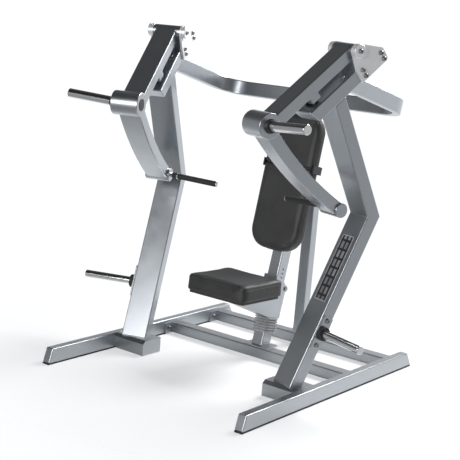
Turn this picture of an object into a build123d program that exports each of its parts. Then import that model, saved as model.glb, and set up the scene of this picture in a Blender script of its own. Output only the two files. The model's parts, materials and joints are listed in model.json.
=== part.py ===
from build123d import *
import math
import os

os.makedirs("parts", exist_ok=True)

# A plate-loaded chest press.  Millimetres, +Z up, origin on the floor at the middle of the machine.
# The user sits facing -Y.  Every right-hand piece is built on the +X side and mirrored for the left.

# ---------------------------------------------------------------- base frame
half_width = 678.0            # centre line to the outer face of a base rail
rail_length = 1644.0
rail_width = 50.0
rail_height = 80.0
rail_front_rake = 26.0        # the top of the front end is set back by this
rail_rear_rake = 52.0
foot_strip_thickness = 8.0
foot_strip_inset = 2.0        # from each side face of its rail
tube_wall = 4.0
tube_corner = 6.0             # outer corner radius of the square tubes

beam_depth = 80.0
beam_height = 62.0
beam_lift = 6.0               # floor to the underside of a cross beam
front_beam_y = 230.0          # centre of the front cross beam
rear_beam_y = 665.0
end_plate_thickness = 10.0
end_plate_length = 196.0
beam_bolt_spacing = 136.0     # the two bolts of an end plate

bolt_head_radius = 12.0
bolt_head_height = 9.0

# ---------------------------------------------------------------- arm planes
toe_in = 19.2                 # each upright and arm works in a plane turned in by this angle
pivot_x = 584.0
pivot_y = -82.0
pivot_height = 1808.0
arm_slope = 40.2              # upper arm and top beam fall forward at this angle

# ---------------------------------------------------------------- uprights and top beams
foot_block_inner_x = 415.0
foot_block_front_y = -305.0
foot_block_rear_y = -155.0
foot_block_lift = 4.0
foot_block_height = 84.0
foot_block_bevel = 17.0       # height of the sloping edge along its front
foot_block_bevel_length = 20.0

upright_width = 145.0
upright_depth = 76.0
upright_foot_reach = 169.0    # forward of the pivot, at the top of the foot block
upright_kink_reach = -233.0
upright_kink_height = 967.0
upright_top_reach = 62.0
upright_top_height = 1554.0

top_beam_width = 158.0
top_beam_depth = 72.0
top_beam_gap = 78.0           # pivot axis to the front face of the top beam
top_beam_start = -127.0       # along the slope, from the pivot axis
top_beam_end = 395.0
top_beam_end_rake = 27.0

# ---------------------------------------------------------------- pivots
plate_thickness = 12.0
shaft_radius = 15.0
running_gap = 0.05
housing_end_gap = 0.5
disc_radius = 35.5
disc_thickness = 19.0
housing_radius = 34.0
bolt_row_high = -97.0         # bolt rows of the pivot plates, across the slope
bolt_row_low = -132.0
bolt_column_front = 27.0      # bolt columns, along the slope
bolt_column_rear = -111.0
plate_pivot_radius = 37.0
plate_rear_edge = -135.0      # ends of a pivot plate, along the slope
plate_front_edge = 60.0
plate_rear_shoulder = -88.0   # where its rear edge starts, across the slope
plate_corner_radius = 18.0
plate_front_corner = 3.0
disc_chamfer = 2.5
beam_screw_along = 119.0      # two screws on the front face of a top beam
beam_screw_offset = 45.0
screw_radius = 9.0
screw_height = 7.0

# ---------------------------------------------------------------- rear bent tube
rear_tube_height = 82.0
rear_tube_thickness = 44.0
rear_tube_bend = 150.0        # centre line radius of the bends
rear_tube_y = 554.0
rear_tube_z = 1494.0
rear_tube_half_span = 625.0
rear_tube_front_x = 590.0     # where the legs reach the top beams
rear_tube_front_y = -31.0
rear_tube_slope = 14.2
rear_tube_lead = 1.15         # the legs are drawn longer by this, then cut to the beams

# ---------------------------------------------------------------- swing arms
arm_width = 122.0
arm_depth = 66.0
boss_along = 613.0            # along the slope from the pivot
boss_across = 23.0
boss_radius = 64.0
boss_outer_face = 84.0
boss_inner_face = -68.0
boss_recess_depth = 16.0
boss_cap_radius = 33.0
boss_cap_depth = 10.0
boss_cap_stand = 2.0          # the cap stands this far proud
boss_edge_round = 4.0
lower_arm_depth = 66.0
lower_arm_bevel = 3.6         # along its four long edges
lower_arm_turn = 21.0         # the lower arm bends through this angle between its ends
handle_reach = -15.0          # forward of the pivot
handle_drop = 803.0           # below the pivot
handle_tube_radius = 38.0
handle_tube_half_length = 72.0

stop_block_start = 289.0      # along the slope
stop_block_length = 54.0
stop_block_height = 29.0
bumper_radius = 18.0
bumper_gap = 0.3
bumper_spacing = 56.0

horn_diameter = 50.0
horn_neck_diameter = 40.0      # inside its collar
horn_shoulder_bevel = 4.0     # where a neck widens into its bar
horn_length = 272.0
horn_tilt = 4.0               # the free end rises by this angle
horn_sweep = 2.7              # and is turned to the rear by this one
horn_collar_radius = 36.5
horn_collar_tip_radius = 30.0
horn_collar_length = 34.0
horn_end_round = 4.0

grip_length = 294.0
grip_forward = 5.7            # the grip turns forward and dips towards its free end
grip_dip = 3.1
grip_bar_radius = 12.5
grip_sleeve_radius = 16.0
grip_sleeve_start = 14.0
grip_ring_length = 8.0
grip_ring_radius = 17.5
grip_ring_at = 42.0
grip_end_length = 6.0

# ---------------------------------------------------------------- plate storage
storage_height = 368.0
storage_plate_length = 178.0
storage_plate_thickness = 9.0
storage_bolt_spacing = 136.0
storage_horn_diameter = 44.0
storage_horn_neck_diameter = 34.0
storage_horn_length = 308.0
storage_collar_radius = 37.0
storage_collar_length = 24.0
storage_collar_round = 5.0
storage_plate_corner = 10.0

# ---------------------------------------------------------------- seat and back posts
post_width = 72.0
post_depth = 88.0
post_lean = 13.8              # the seat post leans back
post_front_y = 212.5          # its front face, at post_front_z
post_front_z = 106.0
post_top_z = 1250.0
base_plate_thickness = 8.0
base_plate_margin = 10.0      # past the post's foot, to the front and the rear
base_plate_corner = 8.0
post_plate_width = 168.0
rear_post_width = 65.0
rear_post_y = 656.0
rear_post_top = 925.0
rear_plate_width = 150.0
brace_drop = 5.0              # below the top of the rear post
brace_height = 60.0
brace_width = 60.0

# ---------------------------------------------------------------- seat carriage
slide_gap = 0.1
carriage_wall = 8.0
carriage_front_wall = 13.0
carriage_rear_wall = 18.0
carriage_low = 174.0          # along the post, from its front foot corner
carriage_high = 416.0
strut_front_y = -160.0
strut_front_drop = 8.0
strut_wall = 6.0
roller_radius = 14.0
roller_along = 350.0
roller_end_gap = 0.5
roller_gap = 0.1
ear_wall = 6.0
ear_slot_low = 325.0
carriage_slope_low = 378.0    # the sleeve's top edge rises from here at the rear
axle_radius = 8.0
axle_head_radius = 13.0
axle_head_height = 6.0
pin_along = 359.0
pin_radius = 6.0
pin_gap = 0.05
pin_travel = 16.0             # from pulled out to home in a hole
pin_clear = 0.4               # pulled out, its tip stands this far off the post
pin_hole_gap = 0.1
pin_knob_gap = 0.3
pin_knob_round = 3.0
hole_pitch = 25.0
hole_count = 5
pin_housing_radius = 15.0
pin_housing_length = 34.0
pin_knob_radius = 17.0
pin_knob_length = 24.0
bellows_top_gap = 0.3
bellows_length = 92.0
bellows_bulge = 9.0
bellows_ribs = 6
bellows_rib_share = 0.6       # of the pitch
bellows_base = 7.0

# ---------------------------------------------------------------- pads
seat_half_width = 199.0
seat_front_y = -238.0
seat_rear_y = 136.0
seat_bottom_z = 420.0         # underside of the seat board at the front edge
seat_tilt = 2.0
seat_board_thickness = 16.0
board_inset = 14.0
seat_pad_thickness = 90.0
seat_corner = 30.0
back_lean = 12.0
back_pad_width = 330.0
back_pad_length = 796.0
back_pad_front_y = 251.0      # front face of the pad at its lower end
back_pad_low_z = 638.0
back_pad_thickness = 76.0
back_board_thickness = 12.0
back_top_corner = 105.0
back_bottom_corner = 112.0
pad_edge = 12.0               # rounding of the pads' outer edges
bracket_width = 120.0
bracket_height = 70.0
back_bracket_low = 150.0      # along the back board
back_bracket_high = 560.0
clip_along = 512.0            # two side clips that hold the pad on its board
clip_height = 46.0
clip_lap = 64.0               # over the side of the pad, from its back
clip_foot = 11.0
clip_thickness = 9.0

placard_width = 88.0
placard_length = 368.0
placard_thickness = 2.0
placard_low = 460.0           # along the lower upright, from its foot
placard_corner = 6.0


def cosd(a):
    return math.cos(math.radians(a))


def sind(a):
    return math.sin(math.radians(a))


# ---------------------------------------------------------------- working planes
forward = Vector(-sind(toe_in), -cosd(toe_in), 0)
outward = Vector(cosd(toe_in), -sind(toe_in), 0)
up = Vector(0, 0, 1)
pivot = Vector(pivot_x, pivot_y, pivot_height)
pivot_floor = Vector(pivot_x, pivot_y, 0)

# side view of the right upright: x forward of the pivot, y height, -z outward
side_plane = Plane(origin=pivot_floor, x_dir=forward, z_dir=-outward)
# the same view turned along the arm: x down the slope, y across it, -z outward
along = forward * cosd(arm_slope) - up * sind(arm_slope)
arm_plane = Plane(origin=pivot, x_dir=along, z_dir=-outward)
# side view of the centre parts: x backwards, y height, z towards +X
mid_plane = Plane(origin=(0, 0, 0), x_dir=(0, 1, 0), z_dir=(1, 0, 0))


def outline(points):
    return make_face(Polyline(*points, close=True))


def prism(plane, face, low, high):
    """A face drawn in a side plane, given thickness from low to high outward of the plane."""
    return extrude(plane * Pos(0, 0, -high) * face, amount=high - low)


def shell(plane, face, half, wall, corner=0.0):
    """A closed box section: the face thickened both ways and hollowed."""
    outer = prism(plane, face, -half, half)
    if corner > 0:
        outer = fillet(outer.edges().filter_by(lambda e: on_sides(e, plane, half)), corner)
    inner = prism(plane, offset(face, amount=-wall, kind=Kind.INTERSECTION), wall - half, half - wall)
    return outer - inner


def on_sides(edge, plane, half):
    z = [plane.to_local_coords(p).Z for p in (edge @ 0, edge @ 1)]
    return abs(abs(z[0]) - half) < 1e-4 and abs(abs(z[1]) - half) < 1e-4


def rod(start, end, radius):
    axis = end - start
    return extrude(Plane(origin=start, z_dir=axis) * Circle(radius), amount=axis.length)


def at(plane, x, y, out=0.0):
    """A point of a side plane in the world."""
    return plane.from_local_coords(Vector(x, y, -out))


def both(name, shape):
    """Write a right-hand piece and its mirror image."""
    pieces = shape if isinstance(shape, list) else [shape]
    write("right_" + name, pieces)
    write("left_" + name, [mirror(p, about=Plane.YZ) for p in pieces])


def both_in_one(shapes):
    right = list(shapes)
    return right + [mirror(s, about=Plane.YZ) for s in right]


def write(name, shape):
    pieces = shape if isinstance(shape, list) else [shape]
    solids = [solid for piece in pieces for solid in piece.solids()]
    export_step(solids[0] if len(solids) == 1 else Compound(children=solids), "parts/" + name + ".step")


def cut_line(a, b, c, d):
    """Where the line a-b meets the line c-d, in a plane."""
    ax, ay = a
    ux, uy = b[0] - ax, b[1] - ay
    vx, vy = d[0] - c[0], d[1] - c[1]
    t = ((c[0] - ax) * vy - (c[1] - ay) * vx) / (ux * vy - uy * vx)
    return (ax + ux * t, ay + uy * t)


def shifted(a, b, d):
    """The line a-b moved sideways by d, to its left."""
    length = math.hypot(b[0] - a[0], b[1] - a[1])
    nx, ny = -(b[1] - a[1]) / length * d, (b[0] - a[0]) / length * d
    return (a[0] + nx, a[1] + ny), (b[0] + nx, b[1] + ny)


def bolt(start, axis, head_radius=bolt_head_radius, head_height=bolt_head_height):
    """A round-headed bolt whose head stands on the point start and points along axis."""
    head = extrude(Plane(origin=start, z_dir=axis) * Circle(head_radius), amount=head_height)
    rim = head.edges().group_by(Axis(start, axis))[-1]
    head = chamfer(rim, head_height * 0.25)
    floor = Plane(origin=start + axis * (head_height / 2), z_dir=axis)
    socket = floor * RegularPolygon(head_radius * 0.45, 6)
    return head - extrude(socket, amount=head_height)


# ---------------------------------------------------------------- shared places
rail_top = foot_strip_thickness + rail_height
beam_top = beam_lift + beam_height
beam_mid_z = beam_lift + beam_height / 2
foot_block_top = foot_block_lift + foot_block_height
rail_inner_x = half_width - rail_width
beam_end_x = rail_inner_x - end_plate_thickness
arm_half = arm_width / 2
top_beam_half = top_beam_width / 2
top_beam_back = -top_beam_gap - top_beam_depth
plate_face = top_beam_half + plate_thickness
housing_half = top_beam_half - housing_end_gap
post_base_z = beam_top + base_plate_thickness


def slope_point(t, n):
    """A point of the arm plane as reach and height in the side plane."""
    reach = t * cosd(arm_slope) + n * sind(arm_slope)
    return (reach, pivot_height - t * sind(arm_slope) + n * cosd(arm_slope))


# ---------------------------------------------------------------- base
def make_rail():
    half = rail_length / 2
    face = outline([
        (-half, foot_strip_thickness),
        (-half + rail_front_rake, rail_top),
        (half - rail_rear_rake, rail_top),
        (half, foot_strip_thickness),
    ])
    plane = mid_plane.offset(half_width - rail_width / 2)
    return shell(plane, face, rail_width / 2, tube_wall, tube_corner)


def make_foot_strip():
    strip = Box(rail_width - 2 * foot_strip_inset, rail_length, foot_strip_thickness)
    return Pos(half_width - rail_width / 2, 0, foot_strip_thickness / 2) * strip


def make_beam(y):
    face = Pos(y, beam_mid_z) * RectangleRounded(beam_depth, beam_height, tube_corner)
    return shell(mid_plane, face, beam_end_x, tube_wall)


def make_end_plate(y):
    plate = Box(end_plate_thickness, end_plate_length, beam_height)
    plate = fillet(plate.edges().filter_by(Axis.X), tube_corner)
    return Pos(beam_end_x + end_plate_thickness / 2, y, beam_mid_z) * plate


def make_beam_bolts(y):
    places = [y - beam_bolt_spacing / 2, y + beam_bolt_spacing / 2]
    return [bolt(Vector(beam_end_x, p, beam_mid_z), Vector(-1, 0, 0)) for p in places]


def make_foot_block():
    face = outline([
        (foot_block_front_y, foot_block_lift),
        (foot_block_front_y, foot_block_top - foot_block_bevel),
        (foot_block_front_y + foot_block_bevel_length, foot_block_top),
        (foot_block_rear_y, foot_block_top),
        (foot_block_rear_y, foot_block_lift),
    ])
    half = (rail_inner_x - foot_block_inner_x) / 2
    return shell(mid_plane.offset(foot_block_inner_x + half), face, half, tube_wall)


# ---------------------------------------------------------------- uprights
upright_foot = (upright_foot_reach, foot_block_top)
upright_kink = (upright_kink_reach, upright_kink_height)
upright_top = (upright_top_reach, upright_top_height)
back_line = (slope_point(0, top_beam_back), slope_point(100, top_beam_back))


def make_upright():
    half = upright_depth / 2
    low_front = shifted(upright_foot, upright_kink, -half)
    low_rear = shifted(upright_foot, upright_kink, half)
    high_front = shifted(upright_kink, upright_top, -half)
    high_rear = shifted(upright_kink, upright_top, half)
    floor_line = ((0, foot_block_top), (1, foot_block_top))
    face = outline([
        cut_line(*low_front, *floor_line),
        cut_line(*low_front, *high_front),
        cut_line(*high_front, *back_line),
        cut_line(*high_rear, *back_line),
        cut_line(*low_rear, *high_rear),
        cut_line(*low_rear, *floor_line),
    ])
    return shell(side_plane, face, upright_width / 2, tube_wall, tube_corner)


def make_top_beam():
    face = outline([
        (top_beam_start, -top_beam_gap),
        (top_beam_end, -top_beam_gap),
        (top_beam_end - top_beam_end_rake, top_beam_back),
        (top_beam_start, top_beam_back),
    ])
    return shell(arm_plane, face, top_beam_half, tube_wall, tube_corner)


# ---------------------------------------------------------------- pivots
def pivot_plate(low, high):
    rear = plate_rear_edge + plate_corner_radius
    front = plate_front_edge - plate_front_corner
    loops = [
        Circle(plate_pivot_radius),
        Pos(rear, plate_rear_shoulder) * Circle(plate_corner_radius),
        Pos(rear, top_beam_back + plate_corner_radius) * Circle(plate_corner_radius),
        Pos(front, top_beam_back + plate_front_corner) * Circle(plate_front_corner),
        Pos(front, -top_beam_gap + plate_front_corner) * Circle(plate_front_corner),
    ]
    edges = ShapeList([e for loop in loops for e in loop.edges()])
    plate = prism(arm_plane, make_hull(edges), low, high)
    return plate - prism(arm_plane, Circle(shaft_radius), low, high)


def make_pivot_plates():
    return [pivot_plate(top_beam_half, plate_face), pivot_plate(-plate_face, -top_beam_half)]


def make_shaft():
    return prism(arm_plane, Circle(shaft_radius), -plate_face, plate_face)


def make_discs():
    discs = []
    for low in (plate_face, -plate_face - disc_thickness):
        disc = prism(arm_plane, Circle(disc_radius), low, low + disc_thickness)
        discs.append(chamfer(disc.edges().filter_by(GeomType.CIRCLE), disc_chamfer))
    return discs


def make_pivot_bolts():
    bolts = []
    for side in (1, -1):
        for t in (bolt_column_front, bolt_column_rear):
            for n in (bolt_row_high, bolt_row_low):
                bolts.append(bolt(at(arm_plane, t, n, side * plate_face), outward * side))
        cap = at(arm_plane, 0, 0, side * (plate_face + disc_thickness))
        bolts.append(bolt(cap, outward * side))
        screw = at(arm_plane, beam_screw_along, -top_beam_gap, side * beam_screw_offset)
        bolts.append(bolt(screw, arm_plane.y_dir, screw_radius, screw_height))
    return bolts


# ---------------------------------------------------------------- rear bent tube
def make_rear_tube():
    plane = Plane(
        origin=(0, rear_tube_y, rear_tube_z),
        x_dir=(1, 0, 0),
        z_dir=(0, -sind(rear_tube_slope), -cosd(rear_tube_slope)),
    )
    reach = (rear_tube_y - rear_tube_front_y) / cosd(rear_tube_slope)
    lead_x = rear_tube_half_span + (rear_tube_front_x - rear_tube_half_span) * rear_tube_lead
    path = plane * FilletPolyline(
        (lead_x, reach * rear_tube_lead),
        (rear_tube_half_span, 0),
        (-rear_tube_half_span, 0),
        (-lead_x, reach * rear_tube_lead),
        radius=rear_tube_bend,
    )
    start = Plane(origin=path @ 0, x_dir=plane.z_dir, z_dir=path % 0)
    inner_height = rear_tube_height - 2 * tube_wall
    inner_thickness = rear_tube_thickness - 2 * tube_wall
    tube = sweep(start * RectangleRounded(rear_tube_height, rear_tube_thickness, tube_corner), path=path)
    tube -= sweep(start * Rectangle(inner_height, inner_thickness), path=path)
    # each leg is cut off flush with the back of its top beam
    ahead = outline([(-400, top_beam_back), (600, top_beam_back), (600, 500), (-400, 500)])
    trim = prism(arm_plane, ahead, -450, 450)
    return tube - trim - mirror(trim, about=Plane.YZ)


# ---------------------------------------------------------------- swing arms
boss_reach, boss_height = slope_point(boss_along, boss_across)
handle_height = pivot_height - handle_drop
recess_floor = boss_outer_face - boss_recess_depth


def boss_solid():
    circle = Pos(boss_along, boss_across) * Circle(boss_radius)
    return prism(arm_plane, circle, boss_inner_face, boss_outer_face)


def make_boss():
    centre = Pos(boss_along, boss_across)
    body = boss_solid()
    body = fillet(body.edges().filter_by(GeomType.CIRCLE), boss_edge_round)
    body -= prism(arm_plane, centre * Circle(horn_collar_radius), recess_floor, boss_outer_face)
    pocket = boss_inner_face + boss_cap_depth
    return body - prism(arm_plane, centre * Circle(boss_cap_radius), boss_inner_face, pocket)


def make_boss_cap():
    centre = Pos(boss_along, boss_across)
    low = boss_inner_face - boss_cap_stand
    cap = prism(arm_plane, centre * Circle(boss_cap_radius), low, boss_inner_face + boss_cap_depth)
    rim = cap.edges().filter_by(GeomType.CIRCLE).group_by(Axis((0, 0, 0), outward))[0]
    return fillet(rim, boss_cap_stand / 2)


def make_upper_arm():
    half = arm_depth / 2
    face = outline([(0, -half), (boss_along, -half), (boss_along, half), (0, half)])
    arm = shell(arm_plane, face, arm_half, tube_wall, tube_corner)
    arm += prism(arm_plane, Circle(housing_radius), -housing_half, housing_half)
    arm -= prism(arm_plane, Circle(shaft_radius + running_gap), -housing_half, housing_half)
    arm -= boss_solid()
    # the block starts inside the arm, so that it fills the rounded corners above it
    block = outline([
        (stop_block_start, tube_corner - half),
        (stop_block_start + stop_block_length, tube_corner - half),
        (stop_block_start + stop_block_length, -half - stop_block_height),
        (stop_block_start, -half - stop_block_height),
    ])
    return arm + prism(arm_plane, block, -arm_half, arm_half)


def make_bumpers():
    base = -arm_depth / 2 - stop_block_height
    height = top_beam_gap + base - bumper_gap
    middle = stop_block_start + stop_block_length / 2
    pucks = []
    for side in (1, -1):
        start = at(arm_plane, middle, base, side * bumper_spacing / 2)
        puck = extrude(Plane(origin=start, z_dir=-arm_plane.y_dir) * Circle(bumper_radius), amount=height)
        pucks.append(puck)
    return pucks


def make_lower_arm():
    a = Vector(boss_reach, boss_height)
    b = Vector(handle_reach, handle_height)
    chord = b - a
    middle = (a + b) / 2
    below = Vector(-chord.Y, chord.X).normalized()
    sagitta = chord.length / 2 * math.tan(math.radians(lower_arm_turn / 4))
    arc = ThreePointArc(a, middle + below * sagitta, b)
    arm = prism(side_plane, lower_arm_face(arc, 0), -arm_half, arm_half)
    long_edges = arm.edges().filter_by(lambda e: on_sides(e, side_plane, arm_half) and e.length > arm_width)
    arm = chamfer(long_edges, lower_arm_bevel)
    return arm - prism(side_plane, lower_arm_face(arc, tube_wall), tube_wall - arm_half, arm_half - tube_wall)


def lower_arm_face(arc, wall):
    """The side view of the lower arm between boss, handle tube and upper arm, less a wall all round."""
    low = -arm_depth / 2 - wall
    corners = ((0, low), (boss_along, low), (boss_along, 0), (0, 0))
    mitre = outline([slope_point(t, n) for t, n in corners])
    face = trace(arc, lower_arm_depth - 2 * wall) - mitre
    face -= Pos(boss_reach, boss_height) * Circle(boss_radius + wall)
    return face - Pos(handle_reach, handle_height) * Circle(handle_tube_radius + wall)


def handle_centre(out):
    return at(side_plane, handle_reach, handle_height, out)


def handle_solid():
    ends = handle_centre(-handle_tube_half_length), handle_centre(handle_tube_half_length)
    return rod(*ends, handle_tube_radius)


def make_handle_tube():
    return fillet(handle_solid().edges().filter_by(GeomType.CIRCLE), boss_edge_round)


grip_axis = (
    forward * (cosd(grip_dip) * sind(grip_forward))
    - outward * (cosd(grip_dip) * cosd(grip_forward))
    - up * sind(grip_dip)
)


def past(point, direction, shape):
    """What of a shape lies beyond the plane through a point, square to a direction."""
    block = extrude(Plane(origin=point, z_dir=direction) * Rectangle(400, 400), amount=900)
    return shape & block


def make_grip_bar():
    end = handle_centre(-handle_tube_half_length)
    bar = rod(end - grip_axis * grip_bar_radius, end + grip_axis * grip_length, grip_bar_radius)
    ring_start = end + grip_axis * grip_ring_at
    bar += rod(ring_start, ring_start + grip_axis * grip_ring_length, grip_ring_radius)
    tip = end + grip_axis * grip_length
    cap = rod(tip - grip_axis * grip_end_length, tip, grip_sleeve_radius)
    bar += fillet(cap.edges().group_by(Axis(end, grip_axis))[-1], grip_end_length / 2)
    return past(end, -outward, bar)


def make_grip_sleeve():
    end = handle_centre(-handle_tube_half_length)
    ring_end = grip_ring_at + grip_ring_length
    spans = ((grip_sleeve_start, grip_ring_at), (ring_end, grip_length - grip_end_length))
    sleeves = []
    for start, stop in spans:
        outer = rod(end + grip_axis * start, end + grip_axis * stop, grip_sleeve_radius)
        sleeves.append(outer - rod(end, end + grip_axis * grip_length, grip_bar_radius))
    return sleeves


horn_axis = (
    outward * (cosd(horn_tilt) * cosd(horn_sweep))
    - forward * (cosd(horn_tilt) * sind(horn_sweep))
    + up * sind(horn_tilt)
)
horn_root = at(arm_plane, boss_along, boss_across, recess_floor)
horn_tip = horn_root + horn_axis * (boss_recess_depth + horn_length)


def necked_bar(start, shoulder, end, radius, neck_radius):
    """A bar that stands on a thinner neck, bevelled at the shoulder and rounded at its end."""
    axis = Axis(start, end - start)
    bar = rod(shoulder, end, radius)
    bar = chamfer(bar.edges().group_by(axis)[0], horn_shoulder_bevel)
    bar = fillet(bar.edges().group_by(axis)[-1], horn_end_round)
    return bar + rod(start, (shoulder + end) / 2, neck_radius)


def make_horn():
    """Started a little inside the boss, so that its root can be cut flat."""
    start = horn_root - horn_axis * boss_recess_depth
    shoulder = horn_root + horn_axis * horn_collar_length
    body = necked_bar(start, shoulder, horn_tip, horn_diameter / 2, horn_neck_diameter / 2)
    return past(horn_root, outward, body)


def make_horn_collar():
    plane = Plane(origin=horn_root, z_dir=outward)
    collar = extrude(plane * Circle(horn_collar_radius), amount=boss_recess_depth)
    taper = horn_collar_length - boss_recess_depth
    cone = Solid.make_cone(
        horn_collar_radius, horn_collar_tip_radius, taper, plane.offset(boss_recess_depth),
    )
    return collar + cone - make_horn()


# ---------------------------------------------------------------- plate storage
def storage_centre():
    """Reach along the upright's middle line at the storage height."""
    share = (storage_height - foot_block_top) / (upright_kink_height - foot_block_top)
    return upright_foot_reach + (upright_kink_reach - upright_foot_reach) * share


def upright_direction():
    x = upright_kink_reach - upright_foot_reach
    y = upright_kink_height - foot_block_top
    return Vector(x, y).normalized()


def make_storage_plate():
    turn = math.degrees(math.atan2(upright_direction().Y, upright_direction().X))
    face = Pos(storage_centre(), storage_height) * Rot(0, 0, turn)
    height = upright_depth - 2 * tube_corner
    face = face * RectangleRounded(storage_plate_length, height, storage_plate_corner)
    low = upright_width / 2
    return prism(side_plane, face, low, low + storage_plate_thickness)


storage_face = upright_width / 2 + storage_plate_thickness


def make_storage_bolts():
    bolts = []
    for side in (1, -1):
        offset_x = upright_direction().X * side * storage_bolt_spacing / 2
        offset_y = upright_direction().Y * side * storage_bolt_spacing / 2
        place = at(side_plane, storage_centre() + offset_x, storage_height + offset_y, storage_face)
        bolts.append(bolt(place, outward))
    return bolts


def make_storage_horn():
    start = at(side_plane, storage_centre(), storage_height, storage_face)
    shoulder = start + outward * storage_collar_length
    end = start + outward * storage_horn_length
    return necked_bar(
        start, shoulder, end, storage_horn_diameter / 2, storage_horn_neck_diameter / 2,
    )


def make_storage_collar():
    start = at(side_plane, storage_centre(), storage_height, storage_face)
    end = start + outward * storage_collar_length
    collar = rod(start, end, storage_collar_radius)
    collar = fillet(collar.edges().group_by(Axis(start, outward))[-1], storage_collar_round)
    return collar - rod(start, end, storage_horn_neck_diameter / 2)


# ---------------------------------------------------------------- posts
post_foot_y = post_front_y + (post_base_z - post_front_z) * math.tan(math.radians(post_lean))
post_axis = Vector(0, sind(post_lean), cosd(post_lean))
post_plane = Plane(origin=(0, post_foot_y, post_base_z), x_dir=post_axis, z_dir=(-1, 0, 0))
# post_plane: x up along the post, y backwards across it, z towards -X


def post_point(a, b):
    return (
        post_foot_y + a * sind(post_lean) + b * cosd(post_lean),
        post_base_z + a * cosd(post_lean) - b * sind(post_lean),
    )


post_length = (post_top_z - post_base_z) / cosd(post_lean)


def pin_hole_places():
    return [pin_along + hole_pitch * i for i in range(hole_count)]


def make_seat_post():
    foot_slope = post_depth * math.tan(math.radians(post_lean))
    face = outline([
        (0, 0),
        (post_length, 0),
        (post_length, post_depth),
        (foot_slope, post_depth),
    ])
    post = shell(post_plane, face, post_width / 2, tube_wall, tube_corner)
    for a in pin_hole_places():
        hole = Pos(a, post_depth / 2) * Circle(pin_radius + pin_hole_gap)
        post -= extrude(post_plane * hole, amount=post_width, both=True)
    foot_length = post_depth / cosd(post_lean)
    plate = Box(post_plate_width, foot_length + 2 * base_plate_margin, base_plate_thickness)
    plate = fillet(plate.edges().filter_by(Axis.Z), base_plate_corner)
    return post + Pos(0, post_foot_y + foot_length / 2, beam_top + base_plate_thickness / 2) * plate


def make_rear_post():
    height = rear_post_top - post_base_z
    inner = rear_post_width - 2 * tube_wall
    foot = Pos(0, rear_post_y, post_base_z)
    post = extrude(foot * RectangleRounded(rear_post_width, rear_post_width, tube_corner), amount=height)
    hollow = extrude(foot * Pos(0, 0, tube_wall) * Rectangle(inner, inner), amount=height - 2 * tube_wall)
    plate = Box(rear_plate_width, beam_depth, base_plate_thickness)
    plate = fillet(plate.edges().filter_by(Axis.Z), base_plate_corner)
    post += Pos(0, rear_beam_y, beam_top + base_plate_thickness / 2) * plate
    return post - hollow + make_brace()


def make_brace():
    front_of_post = rear_post_y - rear_post_width / 2
    high = rear_post_top - brace_drop
    low = high - brace_height
    rear_face = (post_point(0, post_depth), post_point(1, post_depth))
    face = outline([
        (front_of_post, low),
        (front_of_post, high),
        cut_line((0, high), (1, high), *rear_face),
        cut_line((0, low), (1, low), *rear_face),
    ])
    return shell(mid_plane, face, brace_width / 2, tube_wall)


def around_post(low, length, reach):
    """A solid around the post, standing out from its faces by reach."""
    start = Plane(origin=post_plane.origin + post_axis * low, x_dir=(1, 0, 0), z_dir=post_axis)
    section = RectangleRounded(post_width + 2 * reach, post_depth + 2 * reach, tube_corner + reach)
    return extrude(start * Pos(0, post_depth / 2) * section, amount=length)


def make_bellows():
    low = carriage_low - bellows_top_gap - bellows_length
    pitch = bellows_length / bellows_ribs
    body = around_post(low, bellows_length, bellows_base)
    for i in range(bellows_ribs):
        rib = around_post(low + pitch * (i + 0.5 - bellows_rib_share / 2), pitch * bellows_rib_share,
                          bellows_base + bellows_bulge)
        level = rib.edges().filter_by(lambda e: abs((e % 0.5).dot(post_axis)) < 1e-6)
        body += chamfer(level, pitch * bellows_rib_share * 0.3)
    start = Plane(origin=post_plane.origin + post_axis * low, x_dir=(1, 0, 0), z_dir=post_axis)
    passage = RectangleRounded(post_width, post_depth, tube_corner)
    return body - extrude(start * Pos(0, post_depth / 2) * passage, amount=bellows_length)


# ---------------------------------------------------------------- seat carriage
carriage_half = post_width / 2 + slide_gap + carriage_wall
passage_half = post_width / 2 + slide_gap
passage_rear = post_depth + slide_gap
roller_across = passage_rear + roller_radius
sleeve_rear = passage_rear + carriage_rear_wall


def seat_under(y):
    """Height of the seat board's underside."""
    return seat_bottom_z - (y - seat_front_y) * math.tan(math.radians(seat_tilt))


def make_seat_carriage():
    sleeve = outline([
        (carriage_low, -carriage_front_wall),
        (carriage_low, sleeve_rear),
        (roller_along, sleeve_rear),
        (carriage_slope_low, passage_rear + 1),
        (carriage_high, carriage_front_wall),
        (carriage_high, -carriage_front_wall),
    ])
    body = prism(post_plane, sleeve, -carriage_half, carriage_half)
    ear = Pos(roller_along, roller_across) * Circle(roller_radius + ear_wall)
    body += prism(post_plane, ear, -carriage_half, carriage_half)
    body += make_strut()
    passage = outline([
        (carriage_low, -slide_gap), (carriage_high, -slide_gap),
        (carriage_high, passage_rear), (carriage_low, passage_rear),
    ])
    body -= prism(post_plane, passage, -passage_half, passage_half)
    slot = outline([
        (ear_slot_low, post_depth / 2), (carriage_high, post_depth / 2),
        (carriage_high, roller_across + 2 * roller_radius), (ear_slot_low, roller_across + 2 * roller_radius),
    ])
    body -= prism(post_plane, slot, -passage_half, passage_half)
    axle = Pos(roller_along, roller_across) * Circle(axle_radius)
    body -= prism(post_plane, axle, -carriage_half, carriage_half)
    housing = Pos(pin_along, post_depth / 2) * Circle(pin_housing_radius)
    body += prism(post_plane, housing, -carriage_half - pin_housing_length, -carriage_half)
    bore = Pos(pin_along, post_depth / 2) * Circle(pin_radius + pin_gap)
    return body - prism(post_plane, bore, -carriage_half - pin_housing_length, -passage_half)


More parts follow.
